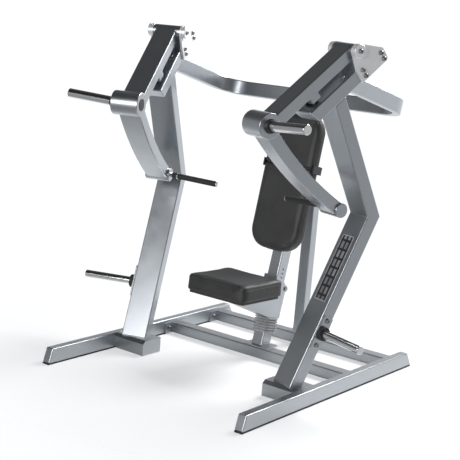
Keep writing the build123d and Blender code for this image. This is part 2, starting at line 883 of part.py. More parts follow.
def make_strut():
    """The tapering hollow arm that carries the seat board ahead of the sleeve."""
    top = ((strut_front_y, seat_under(strut_front_y)), (seat_rear_y, seat_under(seat_rear_y)))
    tip = (strut_front_y, seat_under(strut_front_y) - strut_front_drop)
    root = post_point(carriage_low, -carriage_front_wall)
    sleeve_front = (root, post_point(carriage_high, -carriage_front_wall))
    wall = (post_point(carriage_low, -slide_gap), post_point(carriage_high, -slide_gap))
    face = outline([top[0], tip, root, wall[0], cut_line(*top, *wall)])
    strut = prism(mid_plane, face, -carriage_half, carriage_half)
    roof = shifted(*top, -strut_wall)
    sole = shifted(tip, root, strut_wall)
    hollow = outline([
        cut_line(*roof, *sole),
        cut_line(*sole, *sleeve_front),
        cut_line(*sleeve_front, *roof),
    ])
    return strut - prism(mid_plane, hollow, strut_wall - carriage_half, carriage_half - strut_wall)


def make_roller():
    centre = Pos(roller_along, roller_across)
    half = passage_half - roller_end_gap
    head_end = carriage_half + axle_head_height
    roller = prism(post_plane, centre * Circle(roller_radius - roller_gap), -half, half)
    roller += prism(post_plane, centre * Circle(axle_radius), -head_end, head_end)
    for low in (-head_end, carriage_half):
        roller += prism(post_plane, centre * Circle(axle_head_radius), low, low + axle_head_height)
    return roller


def make_seat_pin():
    """Drawn pulled out: it goes home in a post hole by moving pin_travel towards +X."""
    centre = Pos(pin_along, post_depth / 2)
    tip = -post_width / 2 - pin_clear
    knob_start = -carriage_half - pin_housing_length - pin_knob_gap - pin_travel
    pin = prism(post_plane, centre * Circle(pin_radius), knob_start, tip)
    pin = chamfer(pin.edges().group_by(Axis.X)[-1], pin_radius / 4)
    knob = prism(post_plane, centre * Circle(pin_knob_radius), knob_start - pin_knob_length, knob_start)
    return pin + fillet(knob.edges().filter_by(GeomType.CIRCLE), pin_knob_round)


# ---------------------------------------------------------------- pads
seat_length = (seat_rear_y - seat_front_y) / cosd(seat_tilt)
seat_plane = Plane(
    origin=(0, seat_front_y, seat_bottom_z), x_dir=(1, 0, 0), z_dir=(0, sind(seat_tilt), cosd(seat_tilt)),
)
# x to the right, y up along the pad, z out of its front face
back_plane = Plane(
    origin=(0, back_pad_front_y, back_pad_low_z),
    x_dir=(1, 0, 0), z_dir=(0, -cosd(back_lean), sind(back_lean)),
)


def make_seat_board():
    width = 2 * (seat_half_width - board_inset)
    face = RectangleRounded(width, seat_length - 2 * board_inset, seat_corner - board_inset)
    return extrude(seat_plane * Pos(0, seat_length / 2) * face, amount=seat_board_thickness)


def make_seat_pad():
    face = RectangleRounded(2 * seat_half_width, seat_length, seat_corner)
    start = seat_plane * Pos(0, seat_length / 2, seat_board_thickness)
    pad = extrude(start * face, amount=seat_pad_thickness)
    return fillet(pad.faces().sort_by(Axis((0, 0, 0), seat_plane.z_dir))[-1].edges(), pad_edge)


def back_shape(inset):
    face = Pos(0, back_pad_length / 2) * Rectangle(back_pad_width - 2 * inset, back_pad_length - 2 * inset)
    face = fillet(face.vertices().group_by(Axis.Y)[-1], back_top_corner - inset)
    return fillet(face.vertices().group_by(Axis.Y)[0], back_bottom_corner - inset)


def make_back_pad():
    pad = extrude(back_plane * back_shape(0), amount=-back_pad_thickness)
    return fillet(pad.faces().sort_by(Axis((0, 0, 0), back_plane.z_dir))[-1].edges(), pad_edge)


def make_back_board():
    start = back_plane * Pos(0, 0, -back_pad_thickness)
    return extrude(start * back_shape(board_inset), amount=-back_board_thickness)


def back_point(s, depth):
    """A point of the back pad's middle line, as y and z."""
    point = back_plane.from_local_coords(Vector(0, s, -depth))
    return (point.Y, point.Z)


def make_back_brackets():
    depth = back_pad_thickness + back_board_thickness
    post_front = (post_point(0, 0), post_point(1, 0))
    blocks = []
    for middle in (back_bracket_low, back_bracket_high):
        low, high = middle - bracket_height / 2, middle + bracket_height / 2
        face = outline([
            back_point(low, depth),
            back_point(high, depth),
            cut_line(back_point(high, depth), back_point(high, depth + 1), *post_front),
            cut_line(back_point(low, depth), back_point(low, depth + 1), *post_front),
        ])
        blocks.append(prism(mid_plane, face, -bracket_width / 2, bracket_width / 2))
    return blocks


def make_pad_clip():
    side = back_pad_width / 2
    board_side = side - board_inset
    back = back_pad_thickness + back_board_thickness
    face = outline([
        (side, clip_lap - back_pad_thickness),
        (side + clip_thickness, clip_lap - back_pad_thickness),
        (side + clip_thickness, -back - clip_thickness),
        (board_side - clip_foot, -back - clip_thickness),
        (board_side - clip_foot, -back),
        (side, -back),
    ])
    # drawn across the pad, then given its height along it
    across = Plane(
        origin=back_plane.from_local_coords(Vector(0, clip_along, 0)),
        x_dir=(1, 0, 0), z_dir=-back_plane.y_dir,
    )
    return extrude(across * face, amount=clip_height)


def make_placard():
    direction = upright_direction()
    middle = placard_low + placard_length / 2
    # the front face of the lower upright, seen from the front
    front_line = shifted(upright_foot, upright_kink, -upright_depth / 2)
    start = at(side_plane, *front_line[0])
    climb = (at(side_plane, *front_line[1]) - start).normalized()
    plane = Plane(origin=start + climb * middle, x_dir=outward, z_dir=climb.cross(outward) * -1)
    face = RectangleRounded(placard_width, placard_length, placard_corner)
    return extrude(plane * face, amount=placard_thickness)


# ---------------------------------------------------------------- the machine
both("rail", make_rail())
both("foot_block", make_foot_block())
both("upright", make_upright())
both("top_beam", make_top_beam())
both("pivot_plates", make_pivot_plates())
both("pivot_shaft", make_shaft())
both("storage_horn", make_storage_horn())
both("storage_collar", make_storage_collar())

both("upper_arm", make_upper_arm())
both("boss", make_boss())
both("boss_cap", make_boss_cap())
both("horn", make_horn())
both("horn_collar", make_horn_collar())
both("lower_arm", make_lower_arm())
both("handle_tube", make_handle_tube())
both("grip_bar", make_grip_bar())
both("grip_sleeve", make_grip_sleeve())
both("bumpers", make_bumpers())

write("front_beam", make_beam(front_beam_y))
write("rear_beam", make_beam(rear_beam_y))
write("beam_end_plates", both_in_one([make_end_plate(y) for y in (front_beam_y, rear_beam_y)]))
write("beam_bolts", both_in_one(make_beam_bolts(front_beam_y) + make_beam_bolts(rear_beam_y)))
write("rail_feet", both_in_one([make_foot_strip()]))
write("rear_tube", make_rear_tube())
write("pivot_discs", both_in_one(make_discs()))
write("pivot_bolts", both_in_one(make_pivot_bolts()))
write("storage_plates", both_in_one([make_storage_plate()]))
write("storage_bolts", both_in_one(make_storage_bolts()))
write("placard", make_placard())

write("seat_post", make_seat_post())
write("rear_post", make_rear_post())
write("post_bellows", make_bellows())
write("back_board", make_back_board())
write("back_pad", make_back_pad())
write("back_brackets", make_back_brackets())
write("pad_clips", both_in_one([make_pad_clip()]))

write("seat_carriage", make_seat_carriage())
write("seat_board", make_seat_board())
write("seat_pad", make_seat_pad())
write("seat_roller", make_roller())
write("seat_pin", make_seat_pin())
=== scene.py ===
"""A plate-loaded chest press: cushions, weld beads, screws and finishes around the fixed steel frame."""
import json
import math

import bmesh
import bpy
from bpy.props import FloatProperty, FloatVectorProperty, PointerProperty
from mathutils import Matrix, Vector
from mathutils.bvhtree import BVHTree


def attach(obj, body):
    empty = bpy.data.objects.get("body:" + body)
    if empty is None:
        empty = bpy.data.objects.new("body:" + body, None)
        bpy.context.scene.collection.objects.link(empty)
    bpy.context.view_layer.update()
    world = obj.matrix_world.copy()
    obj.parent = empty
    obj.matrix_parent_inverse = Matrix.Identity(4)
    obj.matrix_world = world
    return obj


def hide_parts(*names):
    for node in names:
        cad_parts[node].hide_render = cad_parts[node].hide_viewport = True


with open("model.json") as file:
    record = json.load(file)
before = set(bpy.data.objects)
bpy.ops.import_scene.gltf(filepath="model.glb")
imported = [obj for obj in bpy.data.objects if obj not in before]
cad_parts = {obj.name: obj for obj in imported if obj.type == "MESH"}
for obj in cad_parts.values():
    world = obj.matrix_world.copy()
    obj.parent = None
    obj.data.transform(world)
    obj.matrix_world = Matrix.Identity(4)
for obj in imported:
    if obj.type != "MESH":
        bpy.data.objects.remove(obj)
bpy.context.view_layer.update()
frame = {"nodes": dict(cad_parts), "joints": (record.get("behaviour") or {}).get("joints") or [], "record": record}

bl_info = {
    "name": "Chest press machine",
    "version": (1, 0, 0),
    "blender": (4, 5, 0),
    "location": "View3D > Sidebar > Chest press",
    "description": "Builds the cushions, trim and finishes of a plate-loaded chest press",
    "category": "Object",
}


# ------------------------------------------------------------------ settings
class PressCushions(bpy.types.PropertyGroup):
    seat_tilt: FloatProperty(
        name="Seat tilt", description="How far the seat falls to the rear",
        default=math.radians(2), subtype="ANGLE")
    back_lean: FloatProperty(
        name="Back lean", description="How far the back pad leans back",
        default=math.radians(12), subtype="ANGLE")
    seat_corner: FloatProperty(
        name="Seat corner", description="Corner radius of the seat", default=0.030, unit="LENGTH")
    back_top_corner: FloatProperty(
        name="Back top corner", description="Upper corner radius of the back pad",
        default=0.105, unit="LENGTH")
    back_bottom_corner: FloatProperty(
        name="Back lower corner", description="Lower corner radius of the back pad",
        default=0.112, unit="LENGTH")
    rim: FloatProperty(
        name="Rim", description="Rounding of the cushions' front edge", default=0.010, unit="LENGTH")
    swell: FloatProperty(
        name="Swell", description="The most that the foam crowns out", default=0.0045, unit="LENGTH")
    pressure: FloatProperty(
        name="Pressure", description="Pressure of the foam on its cover", default=2.0)
    voxel: FloatProperty(
        name="Voxel", description="Grain of the cushions' mesh", default=0.006, unit="LENGTH")
    channel_depth: FloatProperty(
        name="Channel depth", description="Depth of the back pad's cross seam", default=0.009, unit="LENGTH")
    channel_width: FloatProperty(
        name="Channel width", description="Half width of the cross seam", default=0.0065, unit="LENGTH")
    channel_share: FloatProperty(
        name="Channel place", description="Place of the cross seam up the back pad",
        default=0.615, subtype="FACTOR")
    piping: FloatProperty(
        name="Piping", description="Radius of the welt in the seam", default=0.0019, unit="LENGTH")


class PressTrim(bpy.types.PropertyGroup):
    bead: FloatProperty(
        name="Weld bead", description="Half width of a weld bead", default=0.0042, unit="LENGTH")
    ripple: FloatProperty(
        name="Ripple", description="Distance between the ripples of a bead", default=0.0055, unit="LENGTH")
    arm_slope: FloatProperty(
        name="Arm slope", description="Fall of the top beams", default=math.radians(40.2), subtype="ANGLE")
    placard_half_width: FloatProperty(
        name="Placard half width", description="Middle of the placard to its edge line",
        default=0.0405, unit="LENGTH")
    placard_half_length: FloatProperty(
        name="Placard half length", description="The same along it", default=0.180, unit="LENGTH")
    screw: FloatProperty(
        name="Board screw", description="Head radius of the pad screws", default=0.008, unit="LENGTH")


class PressFinish(bpy.types.PropertyGroup):
    paint: FloatVectorProperty(
        name="Paint", description="Colour of the frame's paint", subtype="COLOR",
        default=(0.42, 0.447, 0.475))
    vinyl: FloatVectorProperty(
        name="Vinyl", description="Colour of the cushions", subtype="COLOR", default=(0.028, 0.028, 0.029))
    rubber: FloatVectorProperty(
        name="Rubber", description="Colour of rubber and plastic trim", subtype="COLOR",
        default=(0.018, 0.018, 0.019))


class PressStudio(bpy.types.PropertyGroup):
    key: FloatProperty(name="Key light", description="Power of the key light", default=420.0, unit="POWER")
    fill: FloatProperty(
        name="Front light", description="Power of the front light",
        default=260.0, unit="POWER")
    horizon: FloatProperty(name="Horizon", description="Brightness of the room low down", default=1.05)
    ceiling: FloatProperty(name="Ceiling", description="Share of that left overhead", default=0.07)
    near_side: FloatProperty(
        name="Near side", description="Share of that left behind the camera",
        default=0.30)
    right_side: FloatProperty(name="Right side", description="Share of that left on the right", default=0.5)
    lens: FloatProperty(name="Lens", description="Focal length in millimetres", default=89.4)
    yaw: FloatProperty(
        name="Yaw", description="Turn of the camera about the machine",
        default=math.radians(36.57), subtype="ANGLE")
    pitch: FloatProperty(
        name="Pitch", description="Tilt of the camera", default=math.radians(-11.08), subtype="ANGLE")
    roll: FloatProperty(
        name="Roll", description="Roll of the camera",
        default=math.radians(4.8), subtype="ANGLE")
    place: FloatVectorProperty(
        name="Place", description="Camera position", subtype="TRANSLATION", default=(3.607, -5.001, 1.975))


# ------------------------------------------------------------------ helpers
def settings():
    return bpy.context.scene.chest_press


def deselect():
    if bpy.context.object and bpy.context.object.mode != "OBJECT":
        bpy.ops.object.mode_set(mode="OBJECT")
    bpy.ops.object.select_all(action="DESELECT")


def activate(obj):
    deselect()
    obj.select_set(True)
    bpy.context.view_layer.objects.active = obj


def bake_place(obj):
    """Move an object's place into its mesh, so that the object sits at the origin."""
    obj.data.transform(obj.matrix_world)
    obj.matrix_world = Matrix.Identity(4)


def new_piece(name, mesh, body, material):
    obj = bpy.data.objects.new(name, mesh)
    bpy.context.scene.collection.objects.link(obj)
    settle(obj, body, material)
    return obj


def settle(obj, body, material):
    obj.data.materials.clear()
    obj.data.materials.append(material)
    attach(obj, body)


def node_points(name):
    obj = frame["nodes"][name]
    return [obj.matrix_world @ v.co for v in obj.data.vertices]


# ------------------------------------------------------------------ node groups
def group(name, inputs, outputs):
    """An empty shader group with named float inputs and outputs given as (name, kind)."""
    tree = bpy.data.node_groups.new(name, "ShaderNodeTree")
    for label, default in inputs:
        socket = tree.interface.new_socket(name=label, in_out="INPUT", socket_type="NodeSocketFloat")
        socket.default_value = default
    for label, kind in outputs:
        tree.interface.new_socket(name=label, in_out="OUTPUT", socket_type="NodeSocket" + kind)
    return tree, tree.nodes.new("NodeGroupInput"), tree.nodes.new("NodeGroupOutput")


def add(tree, kind, **values):
    node = tree.nodes.new("ShaderNode" + kind)
    for key, value in values.items():
        setattr(node, key, value)
    return node


def math_node(tree, operation, first, second):
    node = add(tree, "Math", operation=operation)
    for socket, value in zip(node.inputs, (first, second)):
        if isinstance(value, (int, float)):
            socket.default_value = value
        else:
            tree.links.new(value, socket)
    return node.outputs[0]


def noise(tree, scale, detail=4.0, kind="TexNoise"):
    """A texture in the piece's own coordinates."""
    place = add(tree, "TexCoord")
    texture = add(tree, kind)
    tree.links.new(place.outputs["Object"], texture.inputs["Vector"])
    if isinstance(scale, (int, float)):
        texture.inputs["Scale"].default_value = scale
    else:
        tree.links.new(scale, texture.inputs["Scale"])
    if kind == "TexNoise":
        texture.inputs["Detail"].default_value = detail
    return texture


def make_grain_group():
    """Fine pits and pebbles: a height for a bump."""
    tree, inside, outside = group(
        "surface_grain", [("Scale", 400.0), ("Coarse", 60.0)], [("Height", "Float")])
    fine = noise(tree, inside.outputs["Scale"], 3.0)
    coarse = noise(tree, inside.outputs["Coarse"], 2.0)
    total = math_node(tree, "MULTIPLY_ADD", fine.outputs["Fac"], 0.6)
    tree.links.new(coarse.outputs["Fac"], total.node.inputs[2])
    tree.links.new(total, outside.inputs["Height"])
    return tree


def make_pebble_group():
    """The pebbled grain of vinyl: cells with sunken joints."""
    tree, inside, outside = group(
        "vinyl_pebble", [("Scale", 300.0)], [("Height", "Float"), ("Shade", "Float")])
    warp = noise(tree, 90.0, 2.0)
    place = add(tree, "TexCoord")
    shift = add(tree, "VectorMath", operation="MULTIPLY_ADD")
    tree.links.new(warp.outputs["Color"], shift.inputs[0])
    shift.inputs[1].default_value = (0.004, 0.004, 0.004)
    tree.links.new(place.outputs["Object"], shift.inputs[2])
    cells = add(tree, "TexVoronoi", feature="DISTANCE_TO_EDGE")
    tree.links.new(shift.outputs[0], cells.inputs["Vector"])
    tree.links.new(inside.outputs["Scale"], cells.inputs["Scale"])
    height = add(tree, "MapRange")
    height.inputs["From Max"].default_value = 0.35
    tree.links.new(cells.outputs["Distance"], height.inputs["Value"])
    tree.links.new(height.outputs[0], outside.inputs["Height"])
    wide = noise(tree, 7.0, 3.0)
    tree.links.new(wide.outputs["Fac"], outside.inputs["Shade"])
    return tree


def make_wear_group():
    """Soft dust that gathers low down and on faces that look up."""
    tree, inside, outside = group("settled_dust", [("Amount", 0.2)], [("Mask", "Float")])
    normal = add(tree, "NewGeometry")
    split = add(tree, "SeparateXYZ")
    tree.links.new(normal.outputs["Normal"], split.inputs[0])
    face_up = math_node(tree, "MAXIMUM", split.outputs["Z"], 0.0)
    place = add(tree, "TexCoord")
    height = add(tree, "SeparateXYZ")
    tree.links.new(place.outputs["Object"], height.inputs[0])
    low = add(tree, "MapRange")
    low.inputs["From Max"].default_value = 0.5
    low.inputs["To Min"].default_value = 1.0
    low.inputs["To Max"].default_value = 0.25
    tree.links.new(height.outputs["Z"], low.inputs["Value"])
    patches = noise(tree, 9.0, 5.0)
    mask = math_node(tree, "MULTIPLY", face_up, low.outputs[0])
    mask = math_node(tree, "MULTIPLY", mask, patches.outputs["Fac"])
    tree.links.new(math_node(tree, "MULTIPLY", mask, inside.outputs["Amount"]), outside.inputs["Mask"])
    return tree


def make_scuff_group():
    """Long fine scratches: a mask of thin streaks."""
    tree, inside, outside = group(
        "fine_scratches", [("Scale", 30.0), ("Stretch", 22.0), ("Sharp", 0.7)], [("Mask", "Float")])
    place = add(tree, "TexCoord")
    mapping = add(tree, "Mapping")
    stretch = add(tree, "CombineXYZ")
    stretch.inputs["X"].default_value = 1.0
    stretch.inputs["Y"].default_value = 1.0
    tree.links.new(inside.outputs["Stretch"], stretch.inputs["Z"])
    tree.links.new(place.outputs["Object"], mapping.inputs["Vector"])
    tree.links.new(stretch.outputs[0], mapping.inputs["Scale"])
    texture = add(tree, "TexNoise")
    tree.links.new(mapping.outputs[0], texture.inputs["Vector"])
    tree.links.new(inside.outputs["Scale"], texture.inputs["Scale"])
    texture.inputs["Detail"].default_value = 6.0
    ramp = add(tree, "MapRange")
    tree.links.new(inside.outputs["Sharp"], ramp.inputs["From Min"])
    tree.links.new(texture.outputs["Fac"], ramp.inputs["Value"])
    tree.links.new(ramp.outputs[0], outside.inputs["Mask"])
    return tree


# ------------------------------------------------------------------ materials
class Finish:
    """A material being wired up around one Principled shader."""

    def __init__(self, name, color, metallic=0.0, roughness=0.5, **constants):
        self.material = bpy.data.materials.new(name)
        self.material.use_nodes = True
        self.tree = self.material.node_tree
        self.shader = self.tree.nodes["Principled BSDF"]
        self.color = tuple(color)[:3] + (1.0,)
        self.set("Metallic", metallic)
        self.set("Roughness", roughness)
        for label, value in constants.items():
            self.set(label.replace("_", " "), value)

    def set(self, label, value):
        self.shader.inputs[label].default_value = value

    def link(self, output, label):
        self.tree.links.new(output, self.shader.inputs[label])

    def use(self, name, **values):
        node = add(self.tree, "Group", node_tree=bpy.data.node_groups[name])
        for label, value in values.items():
            node.inputs[label].default_value = value
        return node

    def colors(self, mask, *stops):
        """Colours along a mask, given as (place, colour or grey)."""
        ramp = add(self.tree, "ValToRGB")
        self.tree.links.new(mask, ramp.inputs["Fac"])
        while len(ramp.color_ramp.elements) < len(stops):
            ramp.color_ramp.elements.new(0.5)
        for element, (place, color) in zip(ramp.color_ramp.elements, stops):
            element.position = place
            element.color = tuple(c for c in color[:3]) + (1.0,)
        return ramp.outputs["Color"]

    def shades(self, factors):
        return [(place, [c * f for c in self.color[:3]]) for place, f in factors]

    def vary(self, mask, low, high, label="Roughness"):
        ramp = add(self.tree, "MapRange")
        self.tree.links.new(mask, ramp.inputs["Value"])
        ramp.inputs["To Min"].default_value = low
        ramp.inputs["To Max"].default_value = high
        self.link(ramp.outputs[0], label)

    def over(self, base, mask, color):
        """A second colour laid over the first by a mask."""
        mix = add(self.tree, "Mix", data_type="RGBA")
        self.tree.links.new(mask, mix.inputs["Factor"])
        self.tree.links.new(base, mix.inputs[6])
        mix.inputs[7].default_value = tuple(color) + (1.0,)
        return mix.outputs[2]

    def bump(self, height, strength, distance):
        node = add(self.tree, "Bump")
        node.inputs["Strength"].default_value = strength
        node.inputs["Distance"].default_value = distance
        self.tree.links.new(height, node.inputs["Height"])
        self.link(node.outputs["Normal"], "Normal")


def make_paint(values):
    finish = Finish(
        "frame_paint", values.paint, metallic=0.92, roughness=0.3, Coat_Weight=0.25, Coat_Roughness=0.12)
    flake = noise(finish.tree, 2600.0, 1.0)
    base = finish.colors(flake.outputs["Fac"], *finish.shades([(0.3, 0.82), (0.5, 1.0), (0.72, 1.16)]))
    dust = finish.use("settled_dust", Amount=0.22)
    finish.link(finish.over(base, dust.outputs["Mask"], (0.50, 0.49, 0.47)), "Base Color")
    cloud = noise(finish.tree, 14.0, 5.0)
    finish.vary(cloud.outputs["Fac"], 0.24, 0.38)
    peel = finish.use("surface_grain", Scale=900.0, Coarse=160.0)
    finish.bump(peel.outputs["Height"], 0.10, 0.0006)
    return finish.material


def make_chrome(values):
    finish = Finish("polished_steel", (0.80, 0.80, 0.81), metallic=1.0, roughness=0.1)
    scratches = finish.use("fine_scratches", Scale=60.0, Stretch=2.0, Sharp=0.55)
    shade = finish.colors(scratches.outputs["Mask"], (0.0, (0.80, 0.80, 0.81)), (1.0, (0.74, 0.74, 0.75)))
    finish.link(shade, "Base Color")
    finish.vary(scratches.outputs["Mask"], 0.13, 0.24)
    return finish.material


def make_aluminium(values):
    finish = Finish("satin_aluminium", (0.86, 0.87, 0.88), metallic=0.5, roughness=0.36)
    brushing = finish.use("fine_scratches", Scale=240.0, Stretch=0.06, Sharp=0.25)
    shade = finish.colors(brushing.outputs["Mask"], (0.0, (0.80, 0.81, 0.82)), (1.0, (0.92, 0.93, 0.94)))
    finish.link(shade, "Base Color")
    finish.vary(brushing.outputs["Mask"], 0.28, 0.46)
    finish.bump(brushing.outputs["Mask"], 0.08, 0.0003)
    return finish.material


def make_zinc(values):
    finish = Finish("zinc_bolts", (0.34, 0.34, 0.35), metallic=1.0, roughness=0.3)
    cloud = noise(finish.tree, 160.0, 5.0)
    finish.link(finish.colors(cloud.outputs["Fac"], *finish.shades([(0.3, 0.72), (0.7, 1.1)])), "Base Color")
    finish.vary(cloud.outputs["Fac"], 0.2, 0.48)
    return finish.material


def make_moulded(values, name, roughness, scale, strength, color=None):
    """Moulded plastic or rubber, black unless a colour is given."""
    finish = Finish(name, color or values.rubber, roughness=roughness)
    grain = finish.use("surface_grain", Scale=scale, Coarse=scale / 5)
    cloud = noise(finish.tree, 12.0, 4.0)
    base = finish.colors(cloud.outputs["Fac"], *finish.shades([(0.3, 0.8), (0.7, 1.35)]))
    dust = finish.use("settled_dust", Amount=0.35)
    finish.link(finish.over(base, dust.outputs["Mask"], (0.20, 0.195, 0.185)), "Base Color")
    finish.vary(cloud.outputs["Fac"], roughness - 0.08, roughness + 0.1)
    finish.bump(grain.outputs["Height"], strength, 0.0008)
    return finish.material


def make_grip(values):
    """Rubber sleeves with a fine diamond knurl."""
    finish = Finish("grip_rubber", values.rubber, roughness=0.62)
    waves = []
    for turn in (0.9, -0.9):
        place = add(finish.tree, "TexCoord")
        mapping = add(finish.tree, "Mapping")
        mapping.inputs["Rotation"].default_value = (0.0, 0.6, turn)
        wave = add(finish.tree, "TexWave", bands_direction="X")
        wave.inputs["Scale"].default_value = 130.0
        finish.tree.links.new(place.outputs["Object"], mapping.inputs["Vector"])
        finish.tree.links.new(mapping.outputs[0], wave.inputs["Vector"])
        waves.append(wave.outputs["Fac"])
    knurl = math_node(finish.tree, "MINIMUM", waves[0], waves[1])
    # Colour follows the knurl's relief: painted shade in the grooves and a painted highlight on the ridges.
    finish.link(finish.colors(knurl, *finish.shades([(0.0, 0.7), (1.0, 1.5)])), "Base Color")
    finish.vary(knurl, 0.72, 0.5)
    finish.bump(knurl, 0.35, 0.0008)
    return finish.material


def make_vinyl(values):
    finish = Finish("black_vinyl", values.vinyl, roughness=0.5)
    pebble = finish.use("vinyl_pebble", Scale=420.0)
    base = finish.colors(pebble.outputs["Shade"], *finish.shades([(0.3, 0.85), (0.7, 1.4)]))
    dust = finish.use("settled_dust", Amount=0.10)
    finish.link(finish.over(base, dust.outputs["Mask"], (0.16, 0.155, 0.15)), "Base Color")
    finish.vary(pebble.outputs["Shade"], 0.44, 0.60)
    finish.bump(pebble.outputs["Height"], 0.22, 0.0007)
    return finish.material


def make_board(values):
    """Black painted plywood, its grain just showing."""
    finish = Finish("pad_board", (0.030, 0.028, 0.026), roughness=0.6)
    grain = finish.use("fine_scratches", Scale=90.0, Stretch=0.08, Sharp=0.35)
    finish.link(finish.colors(grain.outputs["Mask"], *finish.shades([(0.0, 0.8), (1.0, 1.8)])), "Base Color")
    finish.vary(grain.outputs["Mask"], 0.5, 0.72)
    finish.bump(grain.outputs["Mask"], 0.2, 0.0006)
    return finish.material


def placard_axes():
    """Across and up the placard, and its middle, in the machine's axes."""
    joint = next(j for j in frame["joints"] if j["name"] == "right_arm_swing")
    across = -Vector(joint["axis"]).normalized()
    points = node_points("placard")
    low, high = min(p.z for p in points), max(p.z for p in points)
    ends = [[p for p in points if abs(p.z - level) < 0.004] for level in (low, high)]
    foot, head = [sum(group, Vector()) / len(group) for group in ends]
    climb = (head - foot) - across * (head - foot).dot(across)
    return across, climb.normalized(), sum(points, Vector()) / len(points)


def make_placard_face(values):
    """A dark panel with plain blocks on it and a pale edge line, and no words."""
    finish = Finish("placard_face", (0.045, 0.046, 0.05), roughness=0.3, Coat_Weight=0.3)
    across, climb, middle = placard_axes()
    turn = Matrix((across, climb, across.cross(climb)))
    place = add(finish.tree, "TexCoord")
    mapping = add(finish.tree, "Mapping")
    mapping.inputs["Location"].default_value = -(turn @ middle)
    mapping.inputs["Rotation"].default_value = turn.to_euler()
    finish.tree.links.new(place.outputs["Object"], mapping.inputs["Vector"])
    split = add(finish.tree, "SeparateXYZ")
    finish.tree.links.new(mapping.outputs[0], split.inputs[0])
    blocks = add(finish.tree, "TexBrick")
    blocks.offset = 0.0
    for label, value in (("Scale", 18.0), ("Mortar Size", 0.12), ("Brick Width", 0.56), ("Row Height", 0.92)):
        blocks.inputs[label].default_value = value
    blocks.inputs["Color1"].default_value = (0.30, 0.30, 0.31, 1)
    blocks.inputs["Color2"].default_value = (0.14, 0.14, 0.15, 1)
    blocks.inputs["Mortar"].default_value = (0.02, 0.02, 0.022, 1)
    finish.tree.links.new(mapping.outputs[0], blocks.inputs["Vector"])
    trim = settings().trim
    past = []
    for label, limit in (("X", trim.placard_half_width), ("Y", trim.placard_half_length)):
        distance = math_node(finish.tree, "ABSOLUTE", split.outputs[label], 0)
        past.append(math_node(finish.tree, "GREATER_THAN", distance, limit))
    edge = math_node(finish.tree, "MAXIMUM", *past)
    finish.link(finish.over(blocks.outputs["Color"], edge, (0.45, 0.45, 0.46)), "Base Color")
    speck = noise(finish.tree, 700.0, 2.0)
    finish.vary(speck.outputs["Fac"], 0.22, 0.4)
    return finish.material


def make_weld(values):
    finish = Finish("weld_bead", values.paint, metallic=0.7, roughness=0.42, Coat_Weight=0.25)
    cloud = noise(finish.tree, 220.0, 4.0)
    finish.link(finish.colors(cloud.outputs["Fac"], *finish.shades([(0.3, 0.72), (0.7, 0.98)])), "Base Color")
    finish.vary(cloud.outputs["Fac"], 0.34, 0.55)
    finish.bump(cloud.outputs["Fac"], 0.2, 0.0006)
    return finish.material


def make_materials():
    values = settings().finish
    for build in (make_grain_group, make_pebble_group, make_wear_group, make_scuff_group):
        build()
    return {
        "frame_paint": make_paint(values),
        "polished_steel": make_chrome(values),
        "plate_silver": make_aluminium(values),
        "bolt_steel": make_zinc(values),
        "black_plastic": make_moulded(values, "black_plastic", 0.42, 700.0, 0.12),
        "grey_plastic": make_moulded(values, "grey_plastic", 0.5, 600.0, 0.10, (0.34, 0.35, 0.365)),
        "black_rubber": make_moulded(values, "black_rubber", 0.66, 380.0, 0.25),
        "grip_rubber": make_grip(values),
        "black_vinyl": make_vinyl(values),
        "pad_board": make_board(values),
        "placard_face": make_placard_face(values),
        "weld": make_weld(values),
    }


materials = {}


# ------------------------------------------------------------------ cushions
def rounded_outline(width, length, low_radius, high_radius, steps=10):
    """Corner arcs of a pad, from its lower right corner round to its lower left one."""
    corners = (
        (width / 2 - low_radius, low_radius, low_radius, -90),
        (width / 2 - high_radius, length - high_radius, high_radius, 0),
        (high_radius - width / 2, length - high_radius, high_radius, 90),
        (low_radius - width / 2, low_radius, low_radius, 180),
    )
    points = []
    for x, y, radius, start in corners:
        for i in range(steps + 1):
            angle = math.radians(start + 90 * i / steps)
            points.append((x + radius * math.cos(angle), y + radius * math.sin(angle)))
    return points


def pad_blank(name, outline, inset, thickness, rim):
    """The foam block before its cover is blown out: flat at the back, rounded at the front rim."""
    mesh = bpy.data.meshes.new(name)
    work = bmesh.new()
    middle = Vector((0, sum(y for _, y in outline) / len(outline)))
    corners = []
    for x, y in outline:
        point = Vector((x, y))
        corners.append(work.verts.new((*(point - (point - middle).normalized() * inset), 0.0)))
    base = work.faces.new(corners)
    lifted = bmesh.ops.extrude_face_region(work, geom=[base])
    top = [v for v in lifted["geom"] if isinstance(v, bmesh.types.BMVert)]
    bmesh.ops.translate(work, verts=top, vec=(0, 0, thickness))
    edges = [e for e in work.edges if all(v.co.z > thickness / 2 for v in e.verts)]
    bmesh.ops.bevel(work, geom=edges, offset=rim, segments=4, profile=0.5, affect="EDGES")
    bmesh.ops.recalc_face_normals(work, faces=work.faces)
    work.to_mesh(mesh)
    work.free()
    return mesh


BLANK_INSET_SHARE = 0.35      # of the swell, that a pad's blank is made narrower by
BLANK_DROP_SHARE = 0.9        # of the swell, that it is made thinner by
CHANNEL_FROM = 0.15           # share of the thickness below which the channel fades out
CHANNEL_SIDE_SHARE = 0.5      # of the channel's depth, pressed into the sides
CHANNEL_LEAST_REACH = 0.05    # keeps the side press small near the middle line
WELT_HEIGHT_SHARE = 0.70      # of the thickness, where the piping runs
WELT_STEP = 0.02              # longest straight run of piping
WELT_REACH = 0.05             # how far outside the pad the search for its side starts
CLOTH_FRAMES = 20


def press_channel(obj, values, thickness, along):
    """Draw a sewn channel across the front and sides of a cushion."""
    for vertex in obj.data.vertices:
        near = math.exp(-((vertex.co.y - along) / values.channel_width) ** 2)
        if vertex.co.z > thickness * CHANNEL_FROM:
            vertex.co.z -= near * values.channel_depth * (vertex.co.z / thickness)
            press = near * values.channel_depth * CHANNEL_SIDE_SHARE
            vertex.co.x *= 1.0 - press / max(abs(vertex.co.x), CHANNEL_LEAST_REACH)


